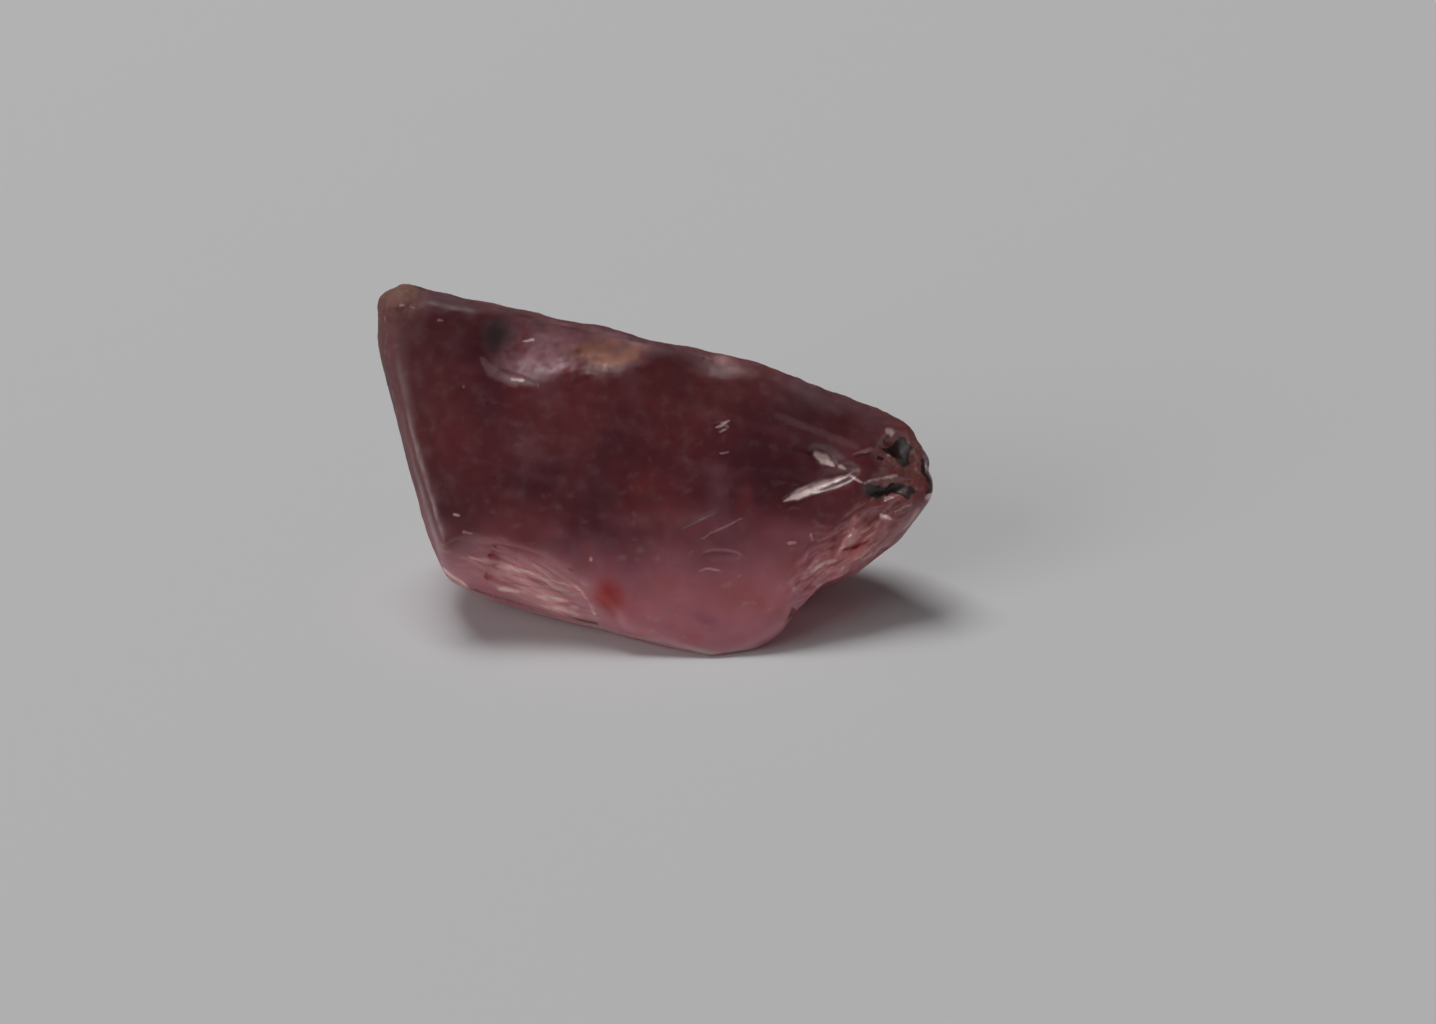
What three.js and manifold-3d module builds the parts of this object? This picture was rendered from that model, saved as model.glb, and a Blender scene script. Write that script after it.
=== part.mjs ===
// A rough, waterworn fragment of pink-brown sapphire: one solid stone, in millimetres, +Z up.
// It lies on a flat parting face at z = 0, and its origin is the middle of its box on that face.
// Its broad front face looks towards -Y and a little up, its tall end is at -X and its thin end at +X.
// The stone is the convex hull of its corners, less the scars, ledges and pits broken out of it.
import * as THREE from "three";
import { ConvexGeometry } from "three/addons/geometries/ConvexGeometry.js";
import { mergeVertices } from "three/addons/utils/BufferGeometryUtils.js";
import Module from "manifold-3d";

const wasm = await Module();
wasm.setup();

// ---- Driving dimensions ----

const FRONT_LEAN = 34; // how far the front face looks up from level, in degrees
const FRONT_TURN = 3; // and how far it is turned from -Y towards +X
const FRONT_FOOT = new THREE.Vector3(1.19, -2.83, 0.12); // a point that the front face passes through
const TOP_DROP = 0.25; // how far the top right facet falls behind the front face, at the ridge
const END_DROP = 0.36; // how far the right facet falls behind it, at the thin end
const FOOT_DROP = 0.14; // how far the lowest facet falls behind it, at the nub

const HOLLOW_LIFT = 0.6; // height of a hollow's centre above its rim, over its half depth
const BROAD = 4; // how finely the broad hollows are faceted
const SMALL = 2; // and the small ones

const LEDGES = 9; // stepped breaks along the lower right edge
const RIPPLES = 5; // ripple marks in the lower left hollow
const RIDGE_NICKS = 8; // small nicks along the top edge
const BACK_STEPS = 4; // stepped breaks on the back

const point = (x, y, z) => new THREE.Vector3(x, y, z);

// The direction of a face that looks this far up from level, and this far round from -Y to +X.
function facing(up, turn) {
  const rise = THREE.MathUtils.degToRad(up);
  const angle = THREE.MathUtils.degToRad(turn);
  const level = Math.cos(rise);
  return point(Math.sin(angle) * level, -Math.cos(angle) * level, Math.sin(rise));
}

const frontNormal = facing(FRONT_LEAN, FRONT_TURN);

// The point at x and z that lies on the front face, or this far behind it.
function onFront(x, z, behind = 0) {
  const offset = frontNormal.x * (x - FRONT_FOOT.x) + frontNormal.z * (z - FRONT_FOOT.z) + behind;
  return point(x, FRONT_FOOT.y - offset / frontNormal.y, z);
}

// ---- Corners of the stone ----

const frontFace = [
  onFront(-5.28, 6.05), // tall end
  onFront(-4.96, 6.16),
  onFront(-3.46, 5.8),
  onFront(-0.69, 5.4),
  onFront(4.3, 3.42), // shoulder, where three facets meet
  onFront(2.76, 1.05),
  onFront(1.78, 1.15),
  onFront(-1.75, 1.52),
  onFront(-4.19, 2.02), // low left corner
  onFront(-4.76, 3.52),
  onFront(-5.16, 4.94),
];
const topRightFacet = [
  onFront(1.79, 4.87, 0.72 * TOP_DROP),
  onFront(4.18, 4.09, TOP_DROP),
  onFront(4.99, 3.75, TOP_DROP),
];
const rightFacet = [
  onFront(5.51, 2.55, END_DROP), // thin end
  onFront(4.7, 2.43, 0.56 * END_DROP),
  onFront(3.69, 1.78, 0.22 * END_DROP),
];
const lowestFacet = [
  onFront(2.27, 0.3, 0.86 * FOOT_DROP),
  onFront(1.19, 0.04, FOOT_DROP), // nub that the stone stands on
  onFront(-0.83, 0.6, 0.71 * FOOT_DROP),
];
const ridgeBack = [
  point(-5.58, 1.42, 6.0),
  point(-5.12, 1.67, 6.18),
  point(-3.11, 1.42, 5.76),
  point(-0.71, 1.17, 5.31),
  point(1.79, 0.92, 4.87),
  point(4.19, 0.52, 4.09),
  point(5.04, 0.32, 3.76),
  point(5.52, 0.12, 2.9),
  point(5.61, -0.48, 2.46),
];
const leftEdge = [
  point(-5.61, 1.22, 4.98),
  point(-5.08, 0.32, 3.07),
  point(-4.6, -0.28, 1.35),
  point(-4.21, -0.72, 0.6),
  point(-3.35, -0.92, 0.25),
];
const rightUnderside = [point(3.91, -0.68, 0.58), point(5.02, -0.28, 1.39), point(4.6, 0.8, 1.3)];
const back = [
  point(-5.1, 2.1, 4.2),
  point(-2.7, 2.8, 3.6),
  point(1.5, 2.6, 2.7),
  point(4.4, 1.5, 2.4),
  point(-4.4, 2.1, 1.2),
];
const restingFace = [
  point(-1.11, -1.58, 0),
  point(1.19, -2.78, 0),
  point(1.98, -2.47, 0),
  point(2.85, -0.84, 0),
  point(3.3, 0.9, 0),
  point(2.1, 2.0, 0),
  point(-1.4, 2.4, 0),
  point(-3.5, 1.8, 0),
];

const corners = [
  frontFace,
  topRightFacet,
  rightFacet,
  lowestFacet,
  ridgeBack,
  leftEdge,
  rightUnderside,
  back,
  restingFace,
].flat();

const unbroken = new ConvexGeometry(corners);

// ---- Solids ----

function solidOf(geometry) {
  const bare = geometry.clone();
  bare.deleteAttribute("normal");
  bare.deleteAttribute("uv");
  const merged = mergeVertices(bare, 1e-4);
  return new wasm.Manifold(
    new wasm.Mesh({
      numProp: 3,
      vertProperties: merged.attributes.position.array,
      triVerts: new Uint32Array(merged.index.array),
    }),
  );
}

function geometryOf(solid) {
  const mesh = solid.getMesh();
  const geometry = new THREE.BufferGeometry();
  geometry.setAttribute("position", new THREE.BufferAttribute(mesh.vertProperties, 3));
  geometry.setIndex(new THREE.BufferAttribute(mesh.triVerts, 1));
  return geometry;
}

// The ellipsoid that breaks a hollow out of a face that looks along normal. Its rim is centred on the
// point at, its length runs towards along, and size gives its length, width and depth.
function hollow(at, normal, along, size, detail = SMALL) {
  const [length, width, depth] = size;
  const across = normal.clone().cross(along).normalize();
  const lengthways = across.clone().cross(normal);
  const spread = Math.sqrt(1 - HOLLOW_LIFT ** 2);
  const halfDepth = depth / (1 - HOLLOW_LIFT);
  const geometry = new THREE.IcosahedronGeometry(1, detail);
  geometry.scale(length / 2 / spread, width / 2 / spread, halfDepth);
  geometry.applyMatrix4(new THREE.Matrix4().makeBasis(lengthways, across, normal));
  geometry.translate(...at.clone().addScaledVector(normal, HOLLOW_LIFT * halfDepth).toArray());
  return solidOf(geometry);
}

// The point on the unbroken stone's skin that is outward of this one.
function onSkin(at, outward) {
  const block = new THREE.Mesh(unbroken, new THREE.MeshBasicMaterial({ side: THREE.DoubleSide }));
  const inside = at.clone().addScaledVector(outward, -1);
  return new THREE.Raycaster(inside, outward).intersectObject(block)[0].point;
}

// Narrow breaks side by side on a face that looks along normal, with their rims on the skin. The first
// runs from one point to another, each next one lies a pitch further across, and they are staggered
// along their length. The floor of each looks along tread.
function steps(count, from, to, normal, tread, pitch, size) {
  const along = to.clone().sub(from);
  const across = along.clone().cross(normal).normalize();
  const [length, width, depth] = size;
  const tools = [];
  for (let i = 0; i < count; i++) {
    const at = from.clone().lerp(to, 0.5 + 0.28 * Math.sin(2.4 * i));
    at.addScaledVector(across, pitch * i);
    const rim = onSkin(at, normal);
    const reach = length * (1 - 0.3 * Math.cos(1.7 * i) ** 2);
    tools.push(hollow(rim, tread, along, [reach, width, depth]));
  }
  return tools;
}

// ---- What is broken out of the stone ----

const alongRidge = point(1, -0.15, -0.2);

// Conchoidal chips under the top edge: a deep one, its shallower tail, and a small one further right.
function chipScars() {
  const upward = facing(52, 0);
  return [
    hollow(onFront(-2.5, 5.18), upward, alongRidge, [1.85, 1.75, 0.3], BROAD),
    hollow(onFront(-1.25, 5.14), upward, alongRidge, [2.4, 1.15, 0.2], BROAD),
    hollow(onFront(1.25, 4.93, 0.13), upward, alongRidge, [1.3, 0.7, 0.12]),
    hollow(onFront(-3.2, 5.4, 0.1), upward, alongRidge, [0.42, 0.34, 0.12]),
  ];
}

// A wedge-shaped chip left of the shoulder, between two cuts that meet at its point. The floor of
// each cut looks up, under a steep wall.
function wedgeChip() {
  const tip = onFront(3.88, 3.1);
  const upperEnd = onFront(3.1, 3.46);
  const lowerEnd = onFront(2.52, 2.62);
  const middle = upperEnd.clone().lerp(lowerEnd, 0.5);
  const upward = facing(68, FRONT_TURN);
  const cut = (end, width, depth) => {
    const along = tip.clone().sub(end);
    return hollow(tip.clone().lerp(end, 0.5), upward, along, [along.length(), width, depth]);
  };
  return [
    hollow(tip.clone().lerp(middle, 0.55), frontNormal, point(1, 0, 0.1), [1.3, 0.62, 0.08]),
    cut(upperEnd, 0.34, 0.08),
    cut(lowerEnd, 0.4, 0.1),
  ];
}

// The rough pocket at the thin end, and the deep pits in it.
function endPocket() {
  const normal = facing(32, 22);
  const down = point(0.1, 0.5, -1);
  return [
    hollow(onFront(4.86, 3.07, 0.2), normal, down, [1.7, 0.95, 0.1], BROAD),
    hollow(onFront(4.76, 3.43, 0.25), normal, point(1, 0, 0.4), [0.6, 0.45, 0.16]),
    hollow(onFront(4.86, 3.25, 0.25), normal, down, [0.6, 0.3, 0.16]),
    hollow(onFront(4.56, 2.67, 0.2), normal, point(1, 0.5, 0.05), [1.2, 0.34, 0.17]),
    hollow(point(5.5, -0.1, 2.95), facing(10, 60), down, [0.9, 0.3, 0.12]),
  ];
}

// The stepped lower right edge, the bay above the nub, and two slits beside them.
function lowerRightBreaks() {
  const outward = facing(-20, 46);
  const low = point(2.7, -2.2, 1.12);
  const high = point(4.55, -0.98, 2.5);
  const alongEdge = high.clone().sub(low);
  return [
    ...steps(LEDGES, low, high, outward, facing(15, 40), 0.15, [1.4, 0.28, 0.07]),
    hollow(point(3.1, -1.35, 0.4), facing(-35, 60), point(1, 0.6, 0.5), [1.9, 1.9, 0.26], BROAD),
    hollow(point(4.0, -1.3, 1.8), facing(0, 30), alongEdge, [0.75, 0.12, 0.14]),
    hollow(point(2.72, -2.15, 0.78), outward, point(0, 0.3, 1), [0.4, 0.14, 0.12]),
  ];
}

// The leaf-shaped hollow along the lower left edge, the ripple marks in it and the groove under it.
function lowerLeftHollow() {
  const outward = facing(0, -12);
  const middle = point(-2.44, -1.81, 1.11);
  const along = point(3.36, -0.66, -1.3);
  const across = along.clone().cross(outward).normalize();
  const [length, width, depth] = [3.1, 1.3, 0.16];
  const upward = facing(35, -12);
  const marks = [];
  for (let i = 0; i < RIPPLES; i++) {
    const side = (i + 0.5) / RIPPLES - 0.5;
    const sunk = depth * (1 - 4 * side ** 2);
    const at = middle.clone().addScaledVector(across, width * side).addScaledVector(outward, -sunk);
    const reach = length * (0.62 + 0.1 * Math.sin(2.1 * i));
    marks.push(hollow(at, upward, along, [reach, 0.26, 0.06]));
  }
  return [
    hollow(middle, outward, along, [length, width, depth], BROAD),
    ...marks,
    hollow(point(-2.42, -1.52, 0.44), facing(-36, -27), point(2.6, -1.12, -0.3), [2.9, 0.12, 0.06]),
  ];
}

// Nicks along the top edge, and pits at the tall corner.
function topEdgeNicks() {
  const from = point(-4.6, 1.25, 6.08);
  const to = point(4.1, 0.4, 4.1);
  const bow = 0.75; // how much the edge bows up between its ends
  const nicks = [];
  for (let i = 0; i < RIDGE_NICKS; i++) {
    const t = (i + 0.5 + 0.35 * Math.sin(3.7 * i)) / RIDGE_NICKS;
    const at = from.clone().lerp(to, t).add(point(0, 0, bow * t * (1 - t)));
    const length = 0.3 + 0.2 * Math.cos(2.3 * i) ** 2;
    nicks.push(hollow(at, facing(70, 10 * Math.sin(5 * i)), alongRidge, [length, 0.22, 0.05]));
  }
  const pits = [onFront(-5.1, 5.98), onFront(-4.78, 6.02), onFront(-4.3, 5.8), onFront(-5.15, 5.6)];
  const cornerPits = pits.map((at) => hollow(at, frontNormal, alongRidge, [0.24, 0.14, 0.05]));
  return [...nicks, ...cornerPits];
}

// Broad conchoidal breaks on the back, and the steps below the upper one.
function backScars() {
  const backward = facing(12, 184);
  const rightEnd = point(2.6, 1.95, 3.75);
  const leftEnd = point(-0.4, 2.4, 3.35);
  return [
    hollow(point(-1.0, 2.3, 4.3), facing(25, 182), point(1, 0, -0.3), [5.4, 2.6, 0.34], BROAD),
    hollow(point(-3.0, 2.5, 2.0), facing(-12, 190), point(1, 0, 0.4), [3.6, 2.4, 0.3], BROAD),
    hollow(point(2.6, 2.2, 1.8), facing(-5, 160), point(1, 0, 0.2), [3.2, 2.2, 0.28], BROAD),
    ...steps(BACK_STEPS, rightEnd, leftEnd, backward, facing(40, 184), 0.24, [2.2, 0.34, 0.08]),
  ];
}

// ---- The stone ----

const breaks = [
  chipScars(),
  wedgeChip(),
  endPocket(),
  lowerRightBreaks(),
  lowerLeftHollow(),
  topEdgeNicks(),
  backScars(),
].flat();

const broken = breaks.reduce((solid, tool) => solid.subtract(tool), solidOf(unbroken));
const shape = geometryOf(broken);
shape.computeBoundingBox();
const middle = shape.boundingBox.getCenter(point(0, 0, 0));
shape.translate(-middle.x, -middle.y, -shape.boundingBox.min.z);

const stone = new THREE.Mesh(
  shape,
  new THREE.MeshStandardMaterial({ color: 0x6b3438, roughness: 0.25, metalness: 0 }),
);
stone.name = "stone";

const part = new THREE.Group();
part.add(stone);

export default part;
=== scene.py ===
"""Looks of the rough sapphire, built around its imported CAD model, in metres, +Z up.

The visible stone is a fine mesh grown from the CAD solid. It is remeshed, worn smooth, given the relief
that is too small for the solid, thinned, and painted. Places on the stone are in millimetres, in the
CAD frame, and colours are linear.
"""
import math
from itertools import product

import bmesh
import bpy
import numpy as np
from mathutils import Matrix, Vector


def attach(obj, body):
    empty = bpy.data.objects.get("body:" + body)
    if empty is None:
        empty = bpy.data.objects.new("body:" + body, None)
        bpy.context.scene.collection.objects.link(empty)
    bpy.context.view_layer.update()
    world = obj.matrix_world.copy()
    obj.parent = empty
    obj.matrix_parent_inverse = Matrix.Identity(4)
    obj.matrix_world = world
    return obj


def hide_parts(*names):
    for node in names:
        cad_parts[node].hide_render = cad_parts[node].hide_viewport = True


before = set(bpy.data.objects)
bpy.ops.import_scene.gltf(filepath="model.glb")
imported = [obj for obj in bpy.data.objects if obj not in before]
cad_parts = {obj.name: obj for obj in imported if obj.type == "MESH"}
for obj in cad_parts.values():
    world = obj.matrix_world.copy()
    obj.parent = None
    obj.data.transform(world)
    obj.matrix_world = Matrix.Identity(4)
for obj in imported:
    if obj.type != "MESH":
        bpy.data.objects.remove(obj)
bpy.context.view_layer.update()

MM = 0.001
COARSE = 0.05  # mm, the grain of the mesh while its edges are worn
FINE = 0.027  # mm, and while it gets its relief
WEAR = 50  # rounds of smoothing that wear the old skin
WEAR_STEP = 0.5  # how far a round moves a point towards its neighbours
FRESH_SPARED = 0.8  # the share of that wear which a fresh break is spared
TRIANGLES = 190_000  # what the finished mesh is thinned to
KEPT_WEIGHT = 0.6  # how readily small marks are thinned, beside 1 for plain skin
MARK_MARGIN = 3  # how many times its own width round a mark the mesh is kept fine
EDGE_REACH = 0.02  # mm, how far a sharp edge stands out
EDGE_ROUNDS = 12  # rounds of smoothing that an edge is measured against
EDGE_SOFTENING = 2  # and rounds that the measure itself gets
TREAD = 0.19  # mm, from one step of a break to the next

CAMERA_TARGET = Vector((1.25, -1.46, 2.58)) * MM
CAMERA_DISTANCE = 54.7 * MM
CAMERA_ELEVATION = math.radians(27)
CAMERA_LENS = 70  # mm
CAMERA_SENSOR = 36  # mm wide

# The lights: place and size in metres, and power in watts.
KEY = (-0.2, 0.25, 0.75), 0.35, 3.0
FILL = (-0.6, -0.45, 0.35), 0.5, 1.5
WALL = (0.35, 0.35, 0.36)
CEILING = (0.05, 0.05, 0.05)
WALL_TOP = 0.3  # how far up, as the sine of the angle, the walls fade into the ceiling
FLOOR = (0.8, 0.8, 0.81)
FLOOR_HALF = 2.0  # metres
FLOOR_ROUGHNESS = 0.9
FLOOR_SPECULAR = 0.1


def facing(up, turn):
    """The direction of a face that looks this far up from level and this far round from -Y to +X."""
    rise, angle = math.radians(up), math.radians(turn)
    return Vector((math.sin(angle) * math.cos(rise), -math.cos(angle) * math.cos(rise), math.sin(rise)))


FRONT = facing(34, 3)  # the broad front face
LOWER_LEFT = facing(0, -12)  # the leaf-shaped hollow
LOWER_RIGHT = facing(-20, 46)  # the stepped edge
THIN_END = facing(32, 22)
TOP = Vector((0, 0, 1))

RIDGE_RUN = Vector((1, -0.15, -0.2))
LEAF_RUN = Vector((3.36, -0.66, -1.3))
EDGE_RUN = Vector((1.85, 1.22, 1.38))  # along the lower right edge
STEP_RUN = Vector((1.0, 0.45, 0.3))  # and along the steps in it, which are less steep
LEVEL_RUN = Vector((1, 0, 0))

FRONT_FOOT = Vector((1.19, -2.83, 0.12))  # a point that the front face passes through
LEAF = (-2.44, -1.81, 1.11)  # the middle of the leaf-shaped hollow
STEPS = (3.8, -1.45, 1.7)  # and of the stepped edge
CORNER = (-5.1, 1.2, 6.0)  # the tall corner
CHIPS = (-2.0, 0.5, 4.95)  # the middle of the chips under the top edge
POCKET = (4.9, -0.25, 3.0)  # and of the rough pocket at the thin end


def front(x, z):
    """The point at x and z on the front face."""
    offset = FRONT.x * (x - FRONT_FOOT.x) + FRONT.z * (z - FRONT_FOOT.z)
    return (x, FRONT_FOOT.y - offset / FRONT.y, z)


RIDGE = [(-5.3, 1.5, 6.12), (-0.7, 1.1, 5.38), (1.8, 0.88, 4.93), (4.2, 0.48, 4.1), (5.03, 0.3, 3.75)]
LEFT_EDGE = [(-5.5, 1.3, 5.95), (-5.55, 1.15, 4.98), (-5.02, 0.28, 3.07), (-4.55, -0.28, 1.35)]
# The lower right and lower front outlines, whose rims get a painted glow of light leaving the stone.
RIGHT_GLOW_RIM = [
    (2.6, -2.15, 0.56),
    (3.3, -1.3, 0.5),
    (3.91, -0.64, 0.62),
    (4.22, -0.73, 0.95),
    (4.69, -0.68, 1.45),
    (4.99, -0.6, 1.74),
    (5.23, -0.7, 2.2),
]
LOWER_GLOW_RIM = [
    (-4.25, -0.85, 0.75),
    (-3.13, -1.06, 0.26),
    (-2.1, -1.53, 0.25),
    (-1.08, -2.06, 0.28),
    (0.23, -2.66, 0.26),
    (1.35, -2.76, 0.04),
    (1.98, -2.47, 0.1),
]


# ---- Noise ----

WORD = 0xFFFFFFFF  # the bits that the hash keeps
AXIS_PRIMES = (73856093, 19349663, 83492791)
SEED_PRIME = 2654435761
MIXERS = (1274126177, 2246822519)
SLOPE_BITS = 1023  # the bits of the hash that give one axis of a slope
NOISE_GAIN = 1.4  # brings the noise to between about -1 and 1
SEED_STEP = 10  # between the seeds of the three axes


def ease(share):
    """0 below 0, 1 above 1, and smooth between them."""
    share = np.clip(share, 0, 1)
    return share * share * (3 - 2 * share)


def gradient_noise(points, wavelength, seed):
    """Smooth noise between about -1 and 1 at each point. The wavelength is in millimetres."""
    scaled = points / wavelength
    cell = np.floor(scaled).astype(np.int64)
    part = scaled - cell
    soft = part**3 * (part * (part * 6 - 15) + 10)
    total = np.zeros(len(points))
    for corner in product((0, 1), repeat=3):
        x, y, z = (cell + corner).T
        code = x * AXIS_PRIMES[0] ^ y * AXIS_PRIMES[1] ^ z * AXIS_PRIMES[2] ^ seed * SEED_PRIME
        code = ((code & WORD) * MIXERS[0]) & WORD
        code = ((code ^ (code >> 15)) * MIXERS[1]) & WORD
        code = code ^ (code >> 13)
        slope = np.stack([(code >> shift) & SLOPE_BITS for shift in (0, 10, 20)], 1) / (SLOPE_BITS / 2) - 1
        weight = np.prod(np.where(corner, soft, 1 - soft), 1)
        total += weight * ((part - corner) * slope).sum(1)
    return total * NOISE_GAIN


def fractal_noise(points, wavelength, octaves, seed):
    """Noise with finer and fainter octaves added to it."""
    total = np.zeros(len(points))
    for octave in range(octaves):
        total += gradient_noise(points, wavelength / 2**octave, seed + octave) / 2**octave
    return total


def warped(points, wavelength, amount, seed):
    """The points pushed about by noise, which makes the outline of a zone ragged."""
    push = [fractal_noise(points, wavelength, 2, seed + SEED_STEP * axis) for axis in range(3)]
    return points + amount * np.stack(push, 1)


# ---- Zones on the skin ----


def local(points, centre, along=LEVEL_RUN, normal=FRONT):
    """The points seen from a place on a face: distance along, across and out of it."""
    normal = Vector(normal).normalized()
    across = normal.cross(Vector(along)).normalized()
    return (points - centre) @ np.array((across.cross(normal), across, normal)).T


def spot(points, centre, radii, along=LEVEL_RUN, normal=FRONT, edge=1.0):
    """1 inside an ellipsoid and 0 outside it. Edge is the share of its radius that fades."""
    distance = np.sqrt(((local(points, centre, along, normal) / radii) ** 2).sum(1))
    return ease((1 - distance) / edge)


def within(points, places, reach):
    """Which points lie in the box round some places, or no further than this outside it."""
    low, high = np.min(places, 0) - reach, np.max(places, 0) + reach
    return np.flatnonzero(np.all((points > low) & (points < high), axis=1))


def trail(points, places, widths, edge=1.0, normal=FRONT, deep=3.0):
    """1 along a line through the places and 0 past half its width, which may differ from place to place.

    The line lies on a face that looks along normal, and it reaches deeper into it than it is wide.
    """
    squeeze = np.eye(3) - (1 - 1 / deep) * np.outer(normal, normal)
    widths = np.broadcast_to(widths, len(places))
    close = within(points, places, 0.5 * widths.max() * deep)
    seen = points[close] @ squeeze
    spots = np.array(places) @ squeeze
    inside = np.zeros(len(seen))
    for start, end, first, last in zip(spots, spots[1:], widths, widths[1:]):
        run = end - start
        share = np.clip((seen - start) @ run / (run @ run), 0, 1)
        distance = np.linalg.norm(seen - start - share[:, None] * run, axis=1)
        inside = np.maximum(inside, 1 - distance / (0.5 * (first + share * (last - first))))
    result = np.zeros(len(points))
    result[close] = ease(inside / edge)
    return result


def patch(points, corners, edge, normal=THIN_END, reach=0.5):
    """How far inside an outline on a face each point is: 0 on it and outside it, 1 from edge inwards."""
    centre = np.mean(corners, 0)
    close = within(points, corners, reach)
    x, y, height = local(points[close], centre, normal=normal).T
    flat = local(np.array(corners), centre, normal=normal)
    nearest = np.full(len(close), np.inf)
    crossings = np.zeros(len(close), int)
    for (ax, ay, _), (bx, by, _) in zip(flat, np.roll(flat, -1, 0)):
        length = (bx - ax) ** 2 + (by - ay) ** 2
        share = np.clip(((x - ax) * (bx - ax) + (y - ay) * (by - ay)) / length, 0, 1)
        nearest = np.minimum(nearest, np.hypot(x - ax - share * (bx - ax), y - ay - share * (by - ay)))
        level = (ay > y) != (by > y)
        crossings += level & (x < ax + (bx - ax) * (y - ay) / (by - ay + 1e-12))
    result = np.zeros(len(points))
    result[close] = ease(nearest / edge) * ((np.abs(height) < reach) & (crossings % 2 == 1))
    return result


def fan(places, along, across):
    """Places squeezed so that noise on them is drawn out along a face and fine across it."""
    return places / (along, across, across)


# ---- Shape ----


class Skin:
    """A mesh's points, and which of them are neighbours."""

    def __init__(self, mesh):
        self.mesh = mesh
        self.points = np.empty(len(mesh.vertices) * 3)
        mesh.vertices.foreach_get("co", self.points)
        self.points = self.points.reshape(-1, 3)
        ends = np.empty(len(mesh.edges) * 2, np.int32)
        mesh.edges.foreach_get("vertices", ends)
        self.ends = ends.reshape(-1, 2)
        self.degree = np.bincount(ends, minlength=len(self.points)) + 1e-9

    def around(self, values):
        """The mean of each point's neighbours. Values have a row for each point."""
        a, b = self.ends.T
        columns = []
        for column in values.T:
            total = np.bincount(a, column[b], len(self.points)) + np.bincount(b, column[a], len(self.points))
            columns.append(total / self.degree)
        return np.stack(columns, 1)

    def smooth(self, values, rounds, share=0.5):
        for _ in range(rounds):
            values = values + share * (self.around(values) - values)
        return values

    def store(self):
        self.mesh.vertices.foreach_set("co", self.points.ravel())
        self.mesh.update()

    def normals(self):
        values = np.empty(self.points.size)
        self.mesh.vertex_normals.foreach_get("vector", values)
        return values.reshape(-1, 3)


def modified(mesh, kind, kept=None, **settings):
    """The mesh as one modifier leaves it, which changes the kept points last."""
    carrier = bpy.data.objects.new("carrier", mesh)
    bpy.context.scene.collection.objects.link(carrier)
    modifier = carrier.modifiers.new("modifier", kind)
    if kept is not None:
        group = carrier.vertex_groups.new(name="kept")
        group.add(np.flatnonzero(kept).tolist(), KEPT_WEIGHT, "REPLACE")
        group.add(np.flatnonzero(~kept).tolist(), 1.0, "REPLACE")
        modifier.vertex_group = group.name
    for name, value in settings.items():
        setattr(modifier, name, value)
    graph = bpy.context.evaluated_depsgraph_get()
    result = bpy.data.meshes.new_from_object(carrier.evaluated_get(graph))
    bpy.data.objects.remove(carrier)
    return result


def welded(node):
    """A CAD node's mesh, in millimetres, with its corners joined."""
    mesh = node.data.copy()
    work = bmesh.new()
    work.from_mesh(mesh)
    bmesh.ops.remove_doubles(work, verts=work.verts, dist=1e-7)
    bmesh.ops.scale(work, vec=(1 / MM,) * 3, verts=work.verts)
    work.to_mesh(mesh)
    work.free()
    return mesh


def freshness(points):
    """1 where the stone was chipped late and its edges are still sharp, 0 on the worn skin."""
    zones = [
        0.5 * spot(points, CHIPS, (1.9, 0.75, 0.9), RIDGE_RUN, edge=0.4),
        spot(points, (3.3, -0.7, 3.0), (1.1, 0.8, 0.6), edge=0.4),
        spot(points, POCKET, (0.95, 1.1, 0.8), normal=THIN_END, edge=0.4),
        spot(points, STEPS, (2.0, 0.9, 0.8), EDGE_RUN, LOWER_RIGHT, edge=0.4),
        0.6 * spot(points, (-1.95, -1.9, 0.92), (1.2, 0.8, 0.8), LEAF_RUN, LOWER_LEFT, edge=0.4),
        0.7 * spot(points, CORNER, (0.8, 0.8, 0.9), edge=0.5),
        0.6 * trail(points, LEFT_EDGE, 1.2, deep=1),
    ]
    return np.max(zones, 0)


def ledge(points, start, end, width, depth, normal=FRONT):
    """A cut that runs rightwards from start to end: a tread that looks up, under a steep wall."""
    start, end = Vector(start), Vector(end)
    places = local(points, (start + end) / 2, end - start, normal)
    taper = np.sqrt(np.clip(1 - (2 * places[:, 0] / (end - start).length) ** 2, 0, 1))
    climb = places[:, 1] / (width * (0.35 + 0.65 * taper)) + 0.5
    profile = np.where(climb < 1, np.clip(climb, 0, 1), ease(1 - (climb - 1) / 0.3))
    return -depth * taper * profile * (np.abs(places[:, 2]) < 0.5)


def terraces(level, sharpness):
    """A staircase with soft treads. Level counts the steps."""
    part = level - np.floor(level)
    return np.floor(level) + ease((part - 0.5) * sharpness + 0.5) - level


# Cuts in the front face: start, end, width and depth of the tread.
LEDGES = [
    ((2.5, -1.06, 2.56), (3.9, -0.68, 3.02), 0.22, 0.05),
    ((3.05, -0.46, 3.42), (3.6, -0.6, 3.15), 0.2, 0.05),
    ((-3.1, 0.2, 4.85), (-2.3, 0.0, 4.55), 0.2, 0.04),
    ((1.15, -0.26, 3.9), (1.45, -0.32, 3.84), 0.14, 0.05),
    ((0.95, -1.74, 1.74), (1.7, -1.74, 1.74), 0.2, 0.05),
    ((0.45, -1.46, 2.2), (1.3, -1.21, 2.52), 0.06, 0.03),
]


def step_relief(points):
    """The terraces and streaks of the stepped edge."""
    steps = local(points, STEPS, STEP_RUN, LOWER_RIGHT)
    region = spot(points, STEPS, (1.95, 0.85, 0.8), EDGE_RUN, LOWER_RIGHT, edge=0.5)
    level = steps[:, 1] / TREAD + 0.9 * fractal_noise(fan(steps, 1.0, 0.4), 1, 2, 51)
    yield region * 0.05 * terraces(level, 3.5)
    yield region * 0.04 * fractal_noise(fan(steps, 0.4, 0.14), 1, 3, 53)


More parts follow.
